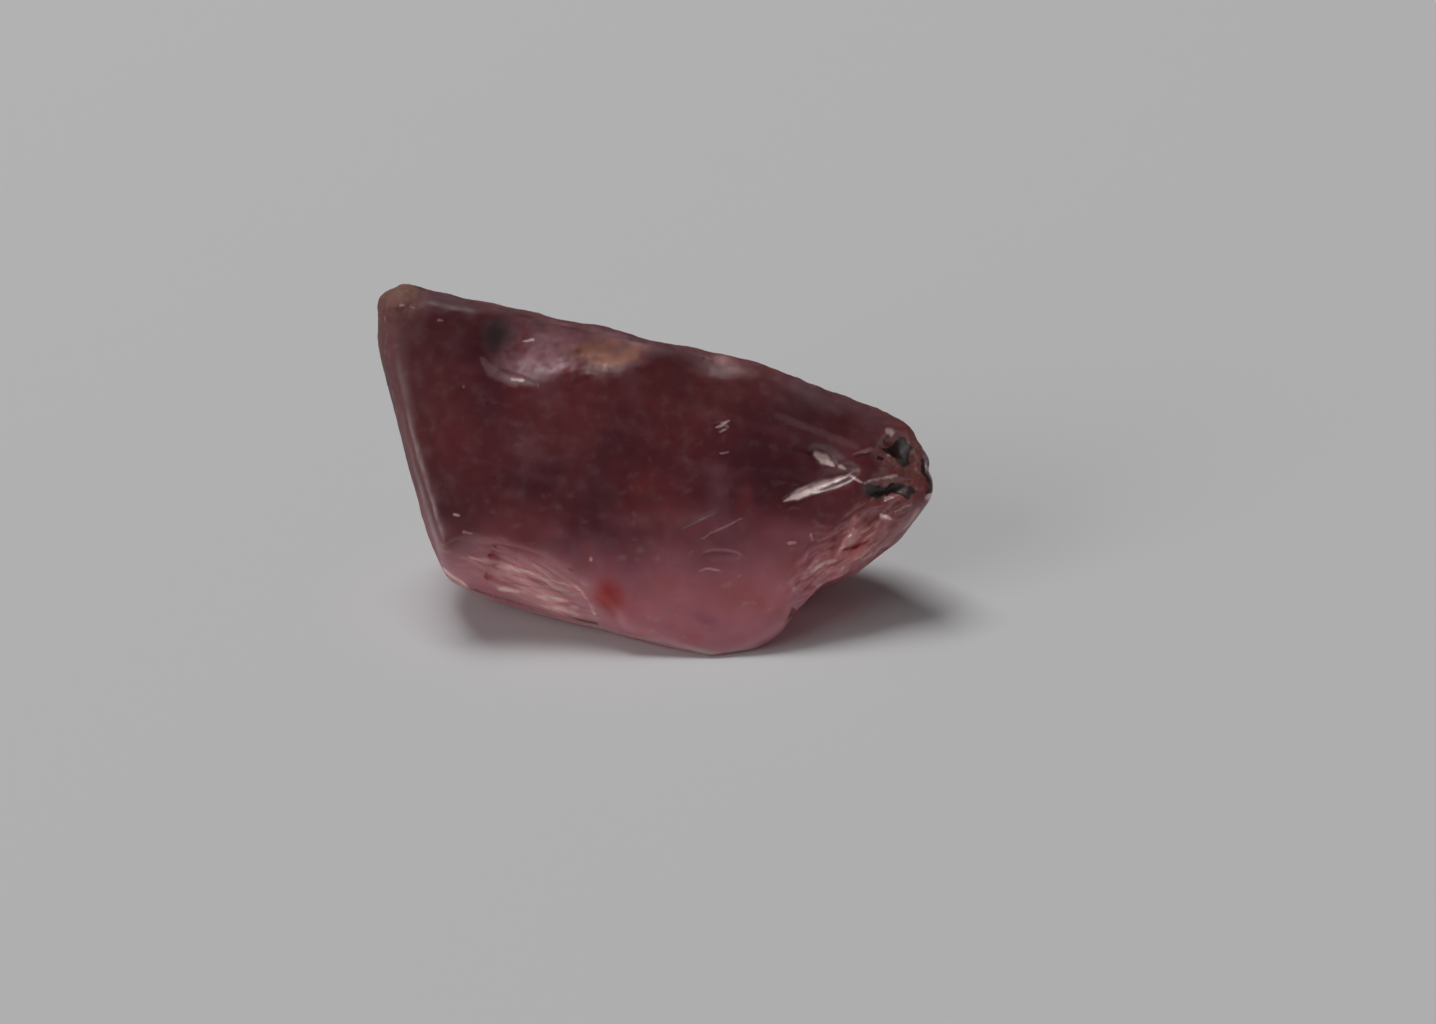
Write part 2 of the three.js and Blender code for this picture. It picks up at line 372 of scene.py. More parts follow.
def leaf_relief(points):
    """The curved ripples of the leaf-shaped hollow."""
    leaf = local(points, LEAF, LEAF_RUN, LOWER_LEFT)
    region = spot(points, LEAF, (1.75, 0.72, 0.9), LEAF_RUN, LOWER_LEFT, edge=0.5)
    ripple = 0.8 * fractal_noise(fan(leaf, 1.2, 0.3), 1, 2, 61)
    level = (leaf[:, 1] - 0.12 * leaf[:, 0] ** 2) / TREAD + ripple
    yield region * 0.06 * terraces(level, 3)


def rough_relief(points):
    """The roughness of the pocket, the chips under the top edge and the tall corner."""
    pocket = spot(points, POCKET, (0.85, 1.0, 0.8), normal=THIN_END, edge=0.5)
    pocket *= 1 - 0.8 * ease(2 * blackened(points))
    yield pocket * 0.07 * fractal_noise(points, 0.35, 3, 71)
    chips = spot(points, CHIPS, (1.9, 0.6, 0.8), RIDGE_RUN, edge=0.5)
    yield chips * 0.035 * fractal_noise(points, 0.5, 3, 76)
    crust = spot(points, CORNER, (0.8, 0.9, 0.9), edge=0.6)
    yield crust * 0.035 * fractal_noise(points, 0.28, 3, 87)


def skin_relief(points):
    """The cuts in the front face, the uneven back, and the unevenness of two edges."""
    for start, end, width, depth in LEDGES:
        yield ledge(warped(points, 0.5, 0.03, 91), start, end, width, depth)
    back = ease(points[:, 1] / 1.5)
    yield 0.02 * back * fractal_noise(points, 0.8, 2, 96)
    ridge = local(points, (-0.3, 0.9, 5.3), RIDGE_RUN, TOP)
    yield trail(points, RIDGE, 1.0, deep=1) * 0.03 * fractal_noise(fan(ridge, 1.0, 0.15), 1, 3, 81)
    yield trail(points, LEFT_EDGE, 1.2, deep=1) * 0.012 * fractal_noise(points, 0.4, 2, 86)


def relief(points):
    """How far each point of the skin stands out, in millimetres."""
    height = 0.035 * fractal_noise(points, 2.1, 3, 11)
    height += 0.007 * fractal_noise(points, 0.35, 2, 31)
    for layer in (step_relief, leaf_relief, rough_relief, skin_relief):
        for part in layer(points):
            height += part
    return height


def detailed(points):
    """Which points have small marks on them, and so keep a finer mesh."""
    marks = [trail(points, places, MARK_MARGIN * np.array(widths)) for _, widths, places in GLINTS]
    return (freshness(points) > 0.3) | (np.max(marks, 0) > 0.1)


def shaped(node):
    """The fine mesh: the CAD node remeshed, worn, given its relief and thinned."""
    worn = modified(welded(node), "REMESH", mode="VOXEL", voxel_size=COARSE)
    skin = Skin(worn)
    wear = WEAR_STEP * (1 - FRESH_SPARED * freshness(skin.points))[:, None]
    skin.points = skin.smooth(skin.points, WEAR, wear)
    skin.store()
    fine = modified(worn, "REMESH", mode="VOXEL", voxel_size=FINE)
    skin = Skin(fine)
    skin.points = skin.points + skin.normals() * relief(skin.points)[:, None]
    skin.points[:, 2] = np.maximum(skin.points[:, 2], 0)
    skin.store()
    ratio = TRIANGLES / (2 * len(fine.polygons))
    return modified(fine, "DECIMATE", detailed(skin.points), ratio=ratio, use_collapse_triangulate=True)


# ---- Paint ----

DARK = (0.135, 0.014, 0.03)
WARM = (0.27, 0.04, 0.05)
# Painted glow of light passing through the stone, on its lower front.
PINK_GLOW = (0.95, 0.36, 0.44)
# Pale and rose paint: for the painted highlights, sparkles, lit edges and glowing rims, the leaf's pale
# streaks, and faint flecks.
PALE = (1.0, 0.74, 0.7)
ROSE = (1.0, 0.6, 0.55)
BROWN = (0.3, 0.13, 0.1)
RED = (0.68, 0.015, 0.01)
SHADE = (0.09, 0.01, 0.01)
SLIT_SHADE = (0.35, 0.008, 0.008)
BLACK = (0.03, 0.007, 0.007)
VEIL = (0.6, 0.3, 0.36)
GROWTH = (0.6, 0.26, 0.3)
CORAL = (0.8, 0.2, 0.16)
PLUM = (0.5, 0.14, 0.24)
INK = (0.06, 0.025, 0.035)
# Pale and dark streaks along the steps: partly painted highlights on the treads and painted shade between
# them.
STEP_STREAKS = (1.0, 0.5, 0.46), (0.3, 0.04, 0.035)
# Painted glow of light leaving the stone at the lower part of the leaf-shaped hollow.
LEAF_GLOW = (1.0, 0.42, 0.44)
LEAF_STREAKS = ROSE, (0.45, 0.1, 0.1)
CRUST = (0.36, 0.16, 0.09)
RIDGE_LINE = (0.42, 0.24, 0.2)
OLD_SKIN = (0.2, 0.11, 0.06)
RUST = (0.75, 0.33, 0.15)

# Soft zones of colour: centre, radii, run, facing, colour, strength.
ZONES = [
    ((-4.2, -0.2, 3.6), (1.4, 3.2, 1.2), LEVEL_RUN, FRONT, WARM, 0.9),
    (front(-1.05, 3.0), (0.45, 1.3, 0.5), LEVEL_RUN, FRONT, (0.08, 0.02, 0.035), 0.6),
    (front(-0.1, 3.0), (0.6, 0.35, 0.5), LEVEL_RUN, FRONT, (0.45, 0.05, 0.045), 0.45),
    (front(1.85, 2.65), (0.35, 0.45, 0.5), LEVEL_RUN, FRONT, (0.45, 0.05, 0.05), 0.4),
    # The leaf-shaped hollow painted lighter pink: painted glow.
    (LEAF, (1.9, 0.95, 1.0), LEAF_RUN, LOWER_LEFT, (0.85, 0.32, 0.35), 0.9),
    ((-0.5, 1.0, 5.3), (6.0, 0.6, 0.45), RIDGE_RUN, TOP, (0.17, 0.04, 0.045), 0.7),
    ((-5.1, 1.2, 6.1), (0.7, 0.8, 0.6), LEVEL_RUN, TOP, (0.3, 0.15, 0.07), 0.9),
    ((3.2, -0.2, 3.95), (1.8, 0.7, 0.5), RIDGE_RUN, FRONT, (0.16, 0.02, 0.03), 0.7),
    ((4.95, -0.25, 3.0), (0.85, 1.0, 0.8), LEVEL_RUN, THIN_END, BROWN, 0.9),
    ((3.9, -1.3, 1.7), (1.9, 0.8, 0.8), EDGE_RUN, LOWER_RIGHT, (0.8, 0.27, 0.26), 0.9),
]

# The chips under the top edge: outline, colour, strength, width of the soft edge.
SCARS = [
    (
        [
            (-3.42, 0.28, 5.15),
            (-3.25, 0.12, 4.85),
            (-2.77, 0.0, 4.6),
            (-1.87, 0.1, 4.78),
            (-1.0, 0.4, 4.9),
            (0.15, 0.45, 5.02),
            (0.1, 0.9, 5.35),
            (-1.1, 1.0, 5.5),
            (-2.8, 1.2, 5.75),
            (-3.5, 1.0, 5.8),
        ],
        (0.28, 0.09, 0.12),
        0.95,
        0.3,
    ),
    (
        [(-2.05, 0.6, 5.15), (-1.2, 0.9, 5.45), (-0.1, 0.7, 5.35), (-0.05, 0.35, 4.93), (-1.05, 0.2, 4.66)],
        (0.33, 0.11, 0.06),
        0.95,
        0.3,
    ),
    (
        [(0.35, 0.85, 5.12), (1.3, 0.8, 5.0), (2.1, 0.55, 4.75), (2.1, 0.35, 4.6), (1.4, 0.3, 4.66)],
        (0.5, 0.27, 0.27),
        0.9,
        0.3,
    ),
]

DARK_CHIP = (-3.15, 0.8, 5.4), (0.55, 0.6, 0.7)  # the dark spot beside them: centre and radii
RED_SPOT = (-0.95, -2.27, 1.06), (0.52, 0.55, 0.5)

# Painted highlights on small pale breaks, standing in for the glints they catch: strength, widths and places
# along each.
GLINTS = [
    (1.0, (0.2, 0.3, 0.06), [(3.2, -0.44, 3.35), (3.34, -0.5, 3.27), (3.54, -0.57, 3.16)]),
    (
        1.0,
        (0.06, 0.28, 0.24, 0.06),
        [(2.54, -1.06, 2.6), (2.85, -0.93, 2.7), (3.3, -0.76, 2.84), (3.86, -0.6, 2.97)],
    ),
    (0.9, 0.1, [(3.66, -0.57, 3.14), (3.76, -0.6, 3.1)]),
    (0.8, 0.08, [(3.88, -0.64, 2.95), (4.08, -0.78, 2.9)]),
    (0.6, 0.08, [(4.14, -0.77, 2.88), (4.45, -0.62, 2.9), (4.8, -0.44, 2.88)]),
    (1.0, 0.1, [(4.5, -0.9, 2.22), (4.66, -0.98, 2.18)]),
    (0.6, 0.06, [(4.76, -0.89, 2.3), (5.09, -0.75, 2.39)]),
    (0.9, 0.2, [(4.64, -0.07, 3.67), (4.7, -0.06, 3.64)]),
    (0.35, (0.04, 0.14), [(3.92, -0.5, 3.37), (4.28, -0.4, 3.43)]),
    (0.7, 0.08, [front(3.08, 2.06), front(3.1, 1.97)]),
    (0.6, 0.08, [front(2.65, 1.93), front(2.78, 1.94)]),
    (0.9, 0.1, [(3.11, -1.82, 1.44), (3.21, -1.76, 1.51), (3.37, -1.68, 1.58), (3.56, -1.62, 1.58)]),
    (0.8, 0.07, [(3.4, -1.72, 1.38), (3.76, -1.59, 1.42)]),
    (0.8, 0.09, [(3.21, -1.84, 1.14), (3.41, -1.75, 1.18)]),
    (0.8, 0.07, [(4.16, -1.15, 1.37), (4.32, -1.14, 1.47)]),
    (0.8, 0.14, [(5.42, -0.58, 2.46), (5.58, -0.5, 2.5)]),
    (1.0, 0.08, [(5.38, -0.2, 3.05), (5.42, -0.25, 2.94)]),
    (0.8, (0.04, 0.12, 0.05), [front(1.22, 3.86), front(1.33, 3.91), front(1.46, 3.97)]),
    (0.6, 0.06, [front(1.3, 3.8), front(1.38, 3.82)]),
    (0.5, 0.05, [front(1.3, 3.43), front(1.44, 3.44)]),
    (0.45, (0.03, 0.05), [front(0.91, 2.04), front(1.72, 2.35)]),
    (0.6, (0.04, 0.08, 0.04), [front(0.9, 1.52), front(1.08, 1.55), front(1.28, 1.5)]),
    (0.9, 0.09, [front(-1.25, 1.76), front(-1.23, 1.74)]),
    (0.7, 0.07, [front(-3.93, 2.53), front(-3.84, 2.52)]),
    (0.6, 0.08, [front(-3.73, 2.24), front(-3.6, 2.22)]),
    (0.6, 0.06, [front(-5.03, 6.0), front(-4.95, 6.0)]),
    (0.5, 0.05, [front(-4.82, 5.97), front(-4.76, 5.96)]),
    (0.5, 0.05, [front(-4.27, 5.74), front(-4.2, 5.73)]),
    (0.8, (0.05, 0.08), [(-2.64, 0.86, 5.21), (-2.44, 0.86, 5.24)]),
    (0.9, 0.13, [(-2.8, 0.1, 4.74), (-2.62, 0.12, 4.7)]),
    (0.22, (0.12, 0.36, 0.2), [(-3.42, 0.28, 5.1), (-3.2, 0.15, 4.88), (-2.77, 0.02, 4.65)]),
    (0.7, 0.08, [(-3.65, -1.51, 1.59), (-3.17, -1.54, 1.52)]),
    (0.9, (0.06, 0.12, 0.05), [(-3.34, -1.52, 1.42), (-2.83, -1.45, 1.34), (-2.26, -1.66, 1.28)]),
    (0.7, (0.04, 0.07, 0.04), [(-2.59, -1.5, 1.24), (-2.11, -1.74, 1.22), (-1.59, -1.92, 1.18)]),
    (1.0, 0.13, [(-3.08, -1.47, 0.88), (-2.72, -1.55, 0.86)]),
    (0.9, (0.18, 0.1), [(-4.2, -0.95, 1.03), (-3.8, -1.05, 0.72)]),
    (1.0, (0.06, 0.16, 0.06), [(-2.4, -1.7, 0.84), (-2.1, -1.76, 0.82), (-1.7, -1.85, 0.8)]),
    (0.9, (0.06, 0.14, 0.06), [(-2.15, -1.76, 0.62), (-1.85, -1.84, 0.62), (-1.5, -1.95, 0.54)]),
    (0.8, 0.06, [(-1.54, -1.95, 1.2), (-1.3, -2.02, 0.9), (-1.18, -2.05, 0.62)]),
    (0.12, 0.2, [front(2.42, 4.04), front(3.22, 3.76), front(3.99, 3.5)]),
]

# Thin dark lines: strength, widths and places along each.
LINES = [
    (
        0.5,
        (0.06, 0.12, 0.08, 0.04),
        [(2.56, -1.13, 2.52), (2.9, -1.04, 2.6), (3.34, -0.88, 2.73), (3.9, -0.7, 2.92)],
    ),
    (0.8, 0.07, [(2.67, -0.48, 3.49), (3.05, -0.46, 3.38)]),
    (0.7, 0.05, [(3.3, -0.38, 3.4), (3.5, -0.46, 3.27), (3.8, -0.58, 3.14)]),
    (0.8, (0.04, 0.08), [(3.95, -0.54, 3.33), (4.3, -0.43, 3.39)]),
    (0.5, 0.1, [(-3.27, 1.15, 5.85), (-1.5, 0.89, 5.43), (-0.2, 0.7, 5.28)]),
    (0.8, 0.07, [(-3.7, -0.98, 0.6), (-2.42, -1.5, 0.48), (-1.15, -2.05, 0.4)]),
    (0.35, 0.06, [(-3.2, -1.5, 1.3), (-2.6, -1.5, 1.14), (-1.9, -1.75, 1.08)]),
    (0.35, 0.06, [(-3.0, -1.45, 1.02), (-2.2, -1.65, 0.98), (-1.6, -1.9, 0.98)]),
    (0.8, (0.05, 0.1, 0.04), [(3.76, -1.6, 1.33), (3.95, -1.4, 1.3), (4.1, -1.2, 1.3)]),
    (0.6, 0.07, [front(-1.68, 1.6), front(-1.6, 1.57)]),
    (0.5, 0.09, [(1.0, 0.62, 4.95), (1.06, 0.62, 4.94)]),
    (0.6, 0.07, [(1.5, 0.55, 4.84), (1.56, 0.54, 4.83)]),
]

# Dark red slits in the stepped edge, with painted shade in them: widths and places along each.
SLITS = [
    ((0.06, 0.16, 0.06), [(3.72, -1.49, 1.75), (3.98, -1.4, 1.8), (4.24, -1.27, 1.85)]),
    ((0.1, 0.16), [(2.6, -2.17, 0.54), (2.72, -2.1, 0.74)]),
]

# Black patches: outlines on the thin end, and a crescent round it.
BLACKS = [
    [
        (4.89, 0.06, 3.54),
        (5.03, -0.01, 3.43),
        (5.2, -0.09, 3.36),
        (5.06, -0.14, 3.25),
        (5.14, -0.27, 2.99),
        (4.9, -0.31, 2.98),
        (4.79, -0.21, 3.12),
        (4.67, -0.26, 3.2),
        (4.45, -0.24, 3.38),
        (4.67, -0.03, 3.4),
    ],
    [
        (4.06, -0.83, 2.82),
        (4.24, -0.76, 2.88),
        (4.41, -0.66, 2.82),
        (4.55, -0.55, 2.7),
        (4.71, -0.49, 2.78),
        (4.9, -0.44, 2.74),
        (5.13, -0.48, 2.67),
        (5.32, -0.53, 2.57),
        (5.05, -0.69, 2.46),
        (4.74, -0.62, 2.53),
        (4.48, -0.67, 2.5),
        (4.32, -0.78, 2.48),
        (4.18, -0.78, 2.58),
    ],
]
CRESCENT = [
    (5.33, -0.17, 3.1),
    (5.31, -0.26, 2.97),
    (5.4, -0.32, 2.86),
    (5.49, -0.35, 2.73),
    (5.5, -0.44, 2.62),
    (5.42, -0.52, 2.56),
]


def mixed(colour, paint, share):
    """The colours of the points, each blended towards a paint by its share."""
    return colour + share[:, None] * (np.array(paint) - colour)


def streaked(colour, places, region, pale, dark, seed):
    """The colour with pale and dark streaks in a region, along the first axis of the squeezed places."""
    streaks = fractal_noise(places, 1, 3, seed)
    colour = mixed(colour, pale, 0.7 * region * ease((streaks - 0.15) / 0.3))
    return mixed(colour, dark, 0.6 * region * ease((-streaks - 0.25) / 0.3))


def clouded(points, loose):
    """The clear skin: broad clouds, veils, growth bands, a painted glow on the lower front, and painted
    sparkles.
    """
    cloud = ease(0.5 + 0.7 * fractal_noise(points, 1.9, 3, 161))
    colour = mixed(np.tile(DARK, (len(points), 1)), WARM, cloud)
    veil = fractal_noise(points / (0.9, 1.0, 1.6), 1, 3, 163)
    colour = mixed(colour, VEIL, 0.2 * ease(veil))
    growth = fractal_noise(fan(local(points, CORNER, RIDGE_RUN), 2.0, 0.3), 1, 3, 177)
    colour = mixed(colour, GROWTH, 0.18 * ease(growth))
    # Painted glow: the lower front is painted pinker and lighter, with coral and plum mottling, standing in
    # for light that passes through the stone and leaves it low at the front.
    low = ease((2.8 - loose[:, 2]) / 2.2)
    forward = ease(0.5 - points[:, 1] / 2.4 + 0.4 * fractal_noise(points, 1.2, 2, 167))
    colour = mixed(colour, PINK_GLOW, low * (0.15 + 0.85 * forward))
    blotch = fractal_noise(points / (1.3, 1, 0.8), 0.6, 3, 173)
    colour = mixed(colour, CORAL, 0.7 * low * forward * ease(blotch))
    colour = mixed(colour, PLUM, 0.55 * low * forward * ease(-blotch))
    # Painted sparkles: small pale flecks of painted highlight, mostly on the lower front.
    painted_sparkle = ease((gradient_noise(points / (1.6, 1, 0.7), 0.16, 169) - 0.4) / 0.25)
    return mixed(colour, PALE, 0.5 * (0.2 + 0.8 * low) * forward * painted_sparkle)


def chipped(colour, points, near, mottle):
    """The chips under the top edge, the dark spot beside them and the red spot."""
    for outline, paint, strength, edge in SCARS:
        share = strength * patch(warped(points, 0.4, 0.1, 151), outline, edge, FRONT, 0.8)
        colour = mixed(colour, np.array(paint) * (1 + 0.5 * mottle[:, None]), share * ease(0.9 + mottle))
    smudge = warped(points, 0.4, 0.15, 153)
    colour = mixed(colour, INK, 0.9 * spot(smudge, *DARK_CHIP, RIDGE_RUN))
    return mixed(colour, RED, spot(near, *RED_SPOT, edge=0.8))


def broken(colour, points):
    """The streaks of the stepped edge, partly painted highlights and painted shade, and the leaf-shaped
    hollow with its streaks and a painted glow on its lower part.
    """
    # Streaks along the steps, partly painted highlights and painted shade.
    steps = fan(local(points, STEPS, STEP_RUN, LOWER_RIGHT), 0.5, 0.14)
    region = spot(points, STEPS, (1.95, 0.85, 0.8), EDGE_RUN, LOWER_RIGHT, edge=0.6)
    colour = streaked(colour, steps, region, *STEP_STREAKS, 171)
    leaf = local(points, LEAF, LEAF_RUN, LOWER_LEFT)
    region = spot(points, LEAF, (1.8, 0.8, 0.9), LEAF_RUN, LOWER_LEFT, edge=0.5)
    # Painted glow on the lower part of the leaf-shaped hollow.
    body = region * ease((0.1 - leaf[:, 1]) / 0.25)
    colour = mixed(colour, LEAF_GLOW, 0.9 * body)
    return streaked(colour, fan(leaf, 1.0, 0.12), region * (1 - 0.6 * body), *LEAF_STREAKS, 181)


def edged(colour, points, loose, near, mottle):
    """The thin dark lines, painted shade in the slits, a painted glow on the lower rims, the crust on the
    corner, a thin paler line along the ridge, and the old skin and rusty specks down the left edge.
    """
    for strength, widths, places in LINES:
        colour = mixed(colour, SHADE, strength * trail(near, places, widths, 0.6))
    # Painted shade in the slits.
    for widths, places in SLITS:
        colour = mixed(colour, SLIT_SHADE, trail(near, places, widths, 0.6))
    # Painted glow: the lower rims painted bright rose, standing in for light that leaves the stone at its
    # bottom edge.
    colour = mixed(colour, ROSE, 0.9 * trail(near, LOWER_GLOW_RIM, 0.24, 0.7, deep=1))
    colour = mixed(colour, ROSE, 0.8 * trail(near, RIGHT_GLOW_RIM, 0.24, 0.7, deep=1))
    crust = spot(near, CORNER, (0.7, 1.0, 0.8), edge=0.6) * ease(0.3 + 1.5 * mottle)
    colour = mixed(colour, CRUST, 0.6 * crust)
    # A thin paler line along the ridge.
    colour = mixed(colour, RIDGE_LINE, 0.5 * ease(mottle + 0.2) * trail(near, RIDGE, 0.12, deep=1))
    colour = mixed(colour, OLD_SKIN, 0.7 * trail(loose, LEFT_EDGE, 1.0, deep=1))
    specks = ease((gradient_noise(points / (1.4, 1, 1), 0.2, 183) - 0.3) / 0.2)
    return mixed(colour, RUST, 0.7 * specks * trail(loose, LEFT_EDGE, 2.0, deep=1))


def coloured(points, glints):
    """The stone's colour at each point, from broad clouds down to small marks."""
    loose = warped(points, 0.9, 0.35, 101)
    near = warped(points, 0.3, 0.02, 131)
    mottle = fractal_noise(points, 0.35, 3, 165)
    colour = clouded(points, loose)
    for centre, radii, run, normal, paint, strength in ZONES:
        colour = mixed(colour, paint, strength * spot(loose, centre, radii, run, normal))
    colour = chipped(colour, points, near, mottle)
    colour = broken(colour, points)
    colour = edged(colour, points, loose, near, mottle)
    # Painted highlights: the glints painted pale, rose low down and paler higher up.
    shine = mixed(np.tile(ROSE, (len(points), 1)), PALE, ease((points[:, 2] - 1.9) / 0.4))
    return colour + glints[:, None] * (shine - colour)


def glinting(points):
    """1 on the painted highlights of the pale breaks and 0 elsewhere."""
    near = warped(points, 0.15, 0.025, 141)
    lit = np.max([strength * trail(near, places, widths, 0.6) for strength, widths, places in GLINTS], 0)
    return lit * (0.65 + 0.35 * ease(0.8 + fractal_noise(points, 0.2, 2, 145)))


def frosted(points, glints):
    """1 where fresh small breaks make the skin cloudy, 0 where it is clear."""
    near = warped(points, 0.5, 0.2, 201)
    zones = [glints]
    bright = 0.8 * (1 - spot(near, *DARK_CHIP, RIDGE_RUN))
    zones += [bright * patch(near, outline, 0.3, FRONT, 0.8) for outline, *_ in SCARS]
    zones += [
        0.7 * spot(near, LEAF, (1.8, 0.8, 0.8), LEAF_RUN, LOWER_LEFT),
        0.7 * spot(near, STEPS, (1.9, 0.8, 0.8), EDGE_RUN, LOWER_RIGHT),
        0.8 * spot(near, POCKET, (0.9, 1.0, 0.8), normal=THIN_END, edge=0.5),
    ]
    return np.max(zones, 0)


def blackened(points):
    """How far inside a black patch each point is: 0 on its outline and outside it, 1 in its middle."""
    torn = warped(warped(points, 0.3, 0.06, 231), 0.1, 0.03, 235)
    zones = [patch(torn, outline, 0.15) for outline in BLACKS]
    zones += [trail(torn, CRESCENT, 0.11), 0.8 * trail(torn, [(4.42, -0.35, 3.2), (4.52, -0.35, 3.18)], 0.12)]
    return np.max(zones, 0)


def dulled(points):
    """1 where the skin is dull, 0 where it still has its gloss."""
    loose = warped(points, 0.5, 0.2, 241)
    scars = [0.6 * patch(loose, outline, 0.1, FRONT, 0.8) for outline, *_ in SCARS]
    crust = spot(loose, CORNER, (0.9, 0.9, 0.9), edge=0.5)
    ridge = 0.9 * trail(loose, RIDGE, 1.3, 0.6, deep=1)
    left = trail(loose, LEFT_EDGE, 2.6, 0.5, deep=1)
    return np.max([*scars, crust, ridge, left], 0)


def add_layer(mesh, name, values):
    """Stores four values for each point as a colour."""
    layer = mesh.attributes.new(name, "FLOAT_COLOR", "POINT")
    layer.data.foreach_set("color", np.column_stack(values).ravel())


def paint(mesh):
    """Stores the colour, and the marks: frost, black, how far each point stands out, and dullness."""
    skin = Skin(mesh)
    # How far each point stands out, for the painted highlights on raised edges and painted shade in hollows.
    offset = skin.points - skin.smooth(skin.points, EDGE_ROUNDS)
    stands_out = (offset * skin.normals()).sum(1, keepdims=True)
    edge = skin.smooth(stands_out, EDGE_SOFTENING)[:, 0] / EDGE_REACH * freshness(skin.points)
    glints = glinting(skin.points)
    add_layer(mesh, "tint", [coloured(skin.points, glints), np.ones(len(edge))])
    frost, black, dull = frosted(skin.points, glints), blackened(skin.points), dulled(skin.points)
    add_layer(mesh, "marks", [frost, black, edge, dull])


# ---- Material ----

IOR = 1.77
CLEAR = 0.5  # transmission of the clear skin
CLOUDY = 0.8, 0.1  # share that scatters under the skin, where it is clear and where it is frosted
SCATTER_RADIUS = (1.0, 0.35, 0.35)
SCATTER_SCALE = 1.0 * MM
ABSORPTION = (0.8, 0.4, 0.43)
ABSORPTION_DENSITY = 200  # per metre
ROUGHNESS = 0.3, 0.42  # of the skin, from the fine grain's low places to its high ones
FROST_SMOOTHS = -0.06  # what frost, dullness and black add to the roughness
DULL_ROUGHENS = 0.4
BLACK_ROUGHENS = 0.15
GRAIN = 0.25  # mm
DIMPLES = 0.12  # mm
DIMPLE_DEPTH = 0.01 * MM
DIMPLE_STRENGTH = 0.2


class Graph:
    """Adds nodes to a node tree and links them. A value is a number, a colour or a node's socket."""

    def __init__(self, tree):
        self.tree = tree

    def connect(self, value, socket):
        if isinstance(value, bpy.types.NodeSocket):
            self.tree.links.new(value, socket)
        elif isinstance(value, tuple) and len(socket.default_value) == 4:
            socket.default_value = (*value, 1)
        else:
            socket.default_value = value

    def add(self, kind, values, output=0, **settings):
        """Adds a node and returns one of its outputs."""
        node = self.tree.nodes.new("ShaderNode" + kind)
        for name, setting in settings.items():
            setattr(node, name, setting)
        for name, value in values.items():
            self.connect(value, node.inputs[name])
        return node.outputs[output]

    def multiply(self, a, b):
        return self.add("Math", {0: a, 1: b}, operation="MULTIPLY")

    def sum(self, a, b):
        return self.add("Math", {0: a, 1: b}, operation="ADD")

    def ramp(self, value, low, high, bottom=0.0, top=1.0):
        """Bottom below low and top above high, and smooth between them."""
        values = {"Value": value, "From Min": low, "From Max": high, "To Min": bottom, "To Max": top}
        return self.add("MapRange", values, interpolation_type="SMOOTHSTEP")

    def blend(self, share, a, b):
        """Colour a where share is 0, and colour b where it is 1."""
        return self.add("Mix", {0: share, 6: a, 7: b}, 2, data_type="RGBA")

    def layer(self, name, output="Color"):
        return self.add("Attribute", {}, output, attribute_name=name)

    def noise(self, place, wavelength, detail):
        return self.add("TexNoise", {"Vector": place, "Scale": 1 / wavelength, "Detail": detail})


def skin_colour(graph, grain, edge, black):
    """The painted colour, with faint flecks, painted highlights on raised edges, painted shade in hollows,
    and the black patches.
    """
    flecks = graph.multiply(graph.ramp(grain, 0.5, 0.8), 0.06)
    colour = graph.blend(flecks, graph.layer("tint"), PALE)
    # Painted highlights on edges that stand out, and painted shade in hollows.
    colour = graph.blend(graph.ramp(edge, 0.5, 2.2, 0.0, 0.35), colour, PALE)
    colour = graph.blend(graph.ramp(edge, -0.4, -2.0, 0.0, 0.35), colour, SHADE)
    return graph.blend(black, colour, BLACK)


def skin_roughness(graph, grain, frost, black):
    dull = graph.multiply(graph.layer("marks", "Alpha"), DULL_ROUGHENS)
    dull = graph.sum(dull, graph.multiply(black, BLACK_ROUGHENS))
    gloss = graph.sum(graph.ramp(grain, 0.3, 0.7, *ROUGHNESS), graph.multiply(frost, FROST_SMOOTHS))
    return graph.sum(gloss, dull)


def add_absorption(material):
    absorption = material.node_tree.nodes.new("ShaderNodeVolumeAbsorption")
    absorption.inputs["Color"].default_value = (*ABSORPTION, 1)
    absorption.inputs["Density"].default_value = ABSORPTION_DENSITY
    output = material.node_tree.nodes["Material Output"]
    material.node_tree.links.new(absorption.outputs[0], output.inputs["Volume"])


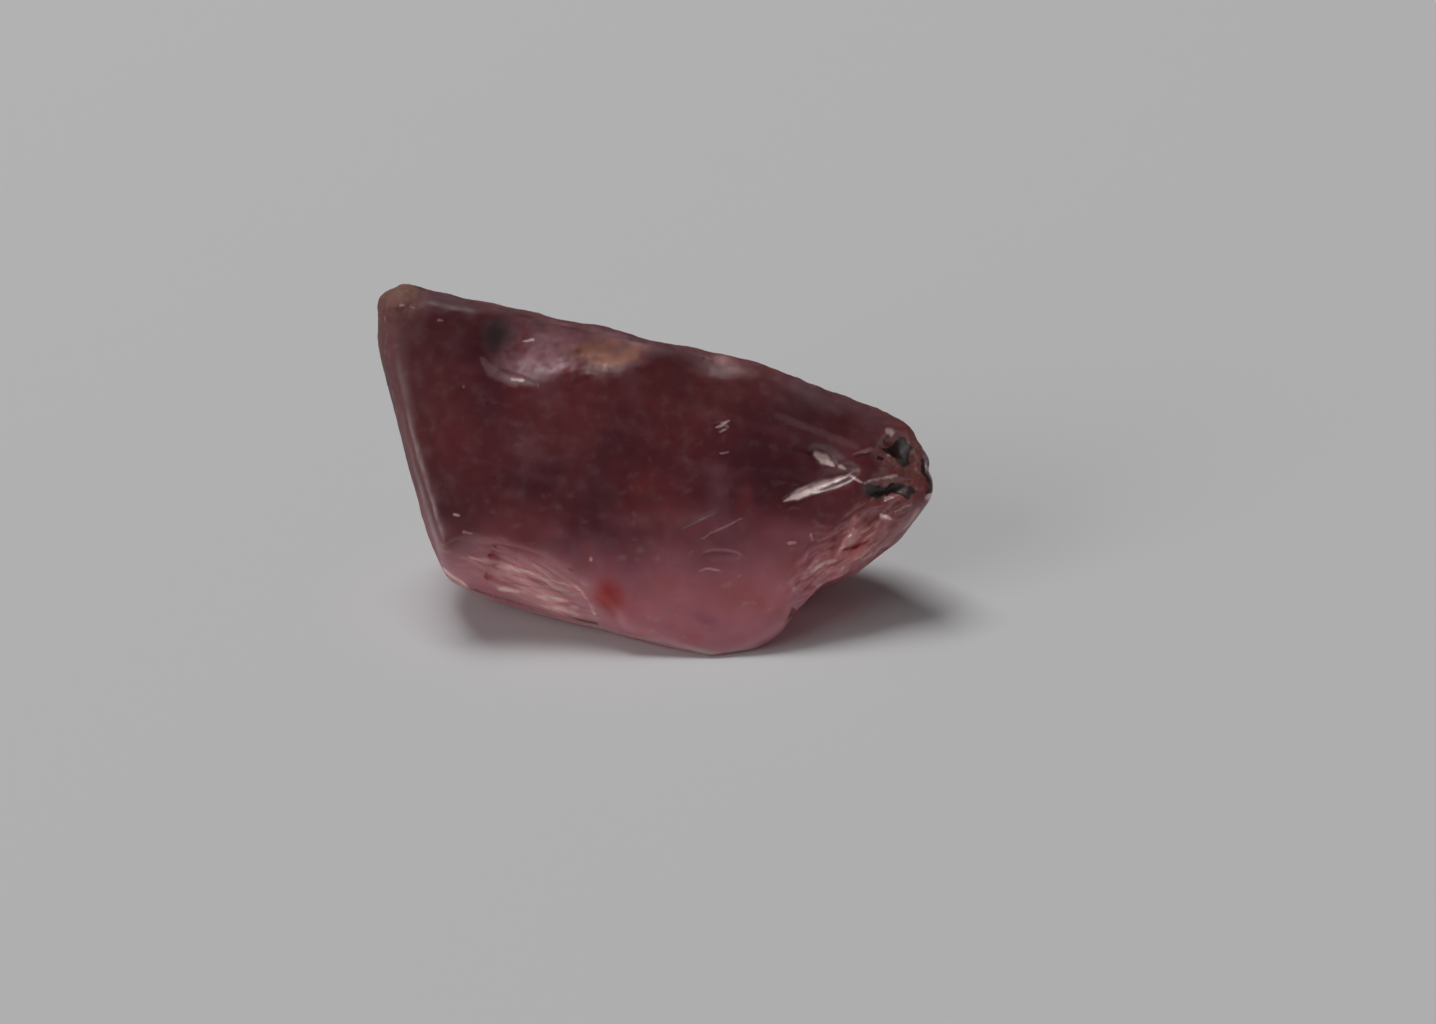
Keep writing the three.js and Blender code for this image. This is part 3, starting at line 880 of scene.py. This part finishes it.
def sapphire_material():
    """Clear to cloudy corundum, coloured and marked by the mesh's two layers."""
    material = bpy.data.materials.new("sapphire")
    material.use_nodes = True
    graph = Graph(material.node_tree)
    shader = material.node_tree.nodes["Principled BSDF"]
    place = graph.add("TexCoord", {}, "Object")
    place = graph.add("VectorMath", {0: place, 1: (1 / MM,) * 3}, operation="MULTIPLY")
    grain = graph.noise(place, GRAIN, 3)
    marks = graph.tree.nodes.new("ShaderNodeSeparateColor")
    graph.connect(graph.layer("marks"), marks.inputs[0])
    frost, stain, edge = marks.outputs
    torn = graph.multiply(stain, graph.sum(graph.multiply(grain, 2.4), -0.2))
    black = graph.ramp(torn, 0.02, 0.25)
    clear = graph.ramp(frost, 0.0, 1.0, CLEAR, 0.0)
    clear = graph.multiply(clear, graph.ramp(black, 0.0, 1.0, 1.0, 0.0))
    dimples = graph.noise(place, DIMPLES, 3)
    bump = {"Strength": DIMPLE_STRENGTH, "Distance": DIMPLE_DEPTH, "Height": dimples}

    graph.connect(skin_colour(graph, grain, edge, black), shader.inputs["Base Color"])
    graph.connect(clear, shader.inputs["Transmission Weight"])
    graph.connect(skin_roughness(graph, grain, frost, black), shader.inputs["Roughness"])
    graph.connect(graph.add("Bump", bump), shader.inputs["Normal"])
    graph.connect(graph.ramp(frost, 0.0, 1.0, *CLOUDY), shader.inputs["Subsurface Weight"])
    shader.inputs["IOR"].default_value = IOR
    shader.inputs["Subsurface Radius"].default_value = SCATTER_RADIUS
    shader.inputs["Subsurface Scale"].default_value = SCATTER_SCALE
    add_absorption(material)
    return material


def make_stone():
    mesh = shaped(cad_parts["stone"])
    mesh.name = "sapphire"
    paint(mesh)
    mesh.transform(Matrix.Scale(MM, 4))
    mesh.shade_smooth()
    mesh.materials.clear()
    mesh.materials.append(sapphire_material())
    stone = bpy.data.objects.new("sapphire", mesh)
    bpy.context.scene.collection.objects.link(stone)
    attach(stone, "root")
    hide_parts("stone")
    print("triangles", len(mesh.polygons))


# ---- Studio ----


def make_camera():
    data = bpy.data.cameras.new("camera")
    data.lens = CAMERA_LENS
    data.sensor_width = CAMERA_SENSOR
    data.clip_start = 1 * MM
    data.clip_end = 10
    camera = bpy.data.objects.new("camera", data)
    bpy.context.scene.collection.objects.link(camera)
    back = Vector((0, -math.cos(CAMERA_ELEVATION), math.sin(CAMERA_ELEVATION)))
    camera.location = CAMERA_TARGET + back * CAMERA_DISTANCE
    camera.rotation_euler = back.to_track_quat("Z", "Y").to_euler()
    bpy.context.scene.camera = camera


def make_light(name, place, size, power):
    """A square softbox that faces the stone. Its place and size are in metres."""
    data = bpy.data.lights.new(name, "AREA")
    data.size = size
    data.energy = power
    light = bpy.data.objects.new(name, data)
    bpy.context.scene.collection.objects.link(light)
    light.location = Vector(place)
    light.rotation_euler = Vector(place).to_track_quat("Z", "Y").to_euler()


def make_world():
    """Dim walls round the stone, under a darker ceiling."""
    world = bpy.data.worlds.new("studio")
    world.use_nodes = True
    bpy.context.scene.world = world
    graph = Graph(world.node_tree)
    height = graph.add("SeparateXYZ", {0: graph.add("TexCoord", {}, "Generated")}, "Z")
    shade = graph.blend(graph.ramp(height, 0.0, WALL_TOP), WALL, CEILING)
    graph.connect(shade, world.node_tree.nodes["Background"].inputs["Color"])


def make_floor():
    corners = [(x * FLOOR_HALF, y * FLOOR_HALF, 0) for x, y in ((-1, -1), (1, -1), (1, 1), (-1, 1))]
    mesh = bpy.data.meshes.new("floor")
    mesh.from_pydata(corners, [], [(0, 1, 2, 3)])
    material = bpy.data.materials.new("floor")
    material.use_nodes = True
    shader = material.node_tree.nodes["Principled BSDF"]
    shader.inputs["Base Color"].default_value = (*FLOOR, 1)
    shader.inputs["Roughness"].default_value = FLOOR_ROUGHNESS
    shader.inputs["Specular IOR Level"].default_value = FLOOR_SPECULAR
    mesh.materials.append(material)
    floor = bpy.data.objects.new("floor", mesh)
    bpy.context.scene.collection.objects.link(floor)


make_camera()
make_light("key", *KEY)
make_light("fill", *FILL)
make_world()
make_floor()
make_stone()
bpy.context.scene.view_settings.view_transform = "Standard"
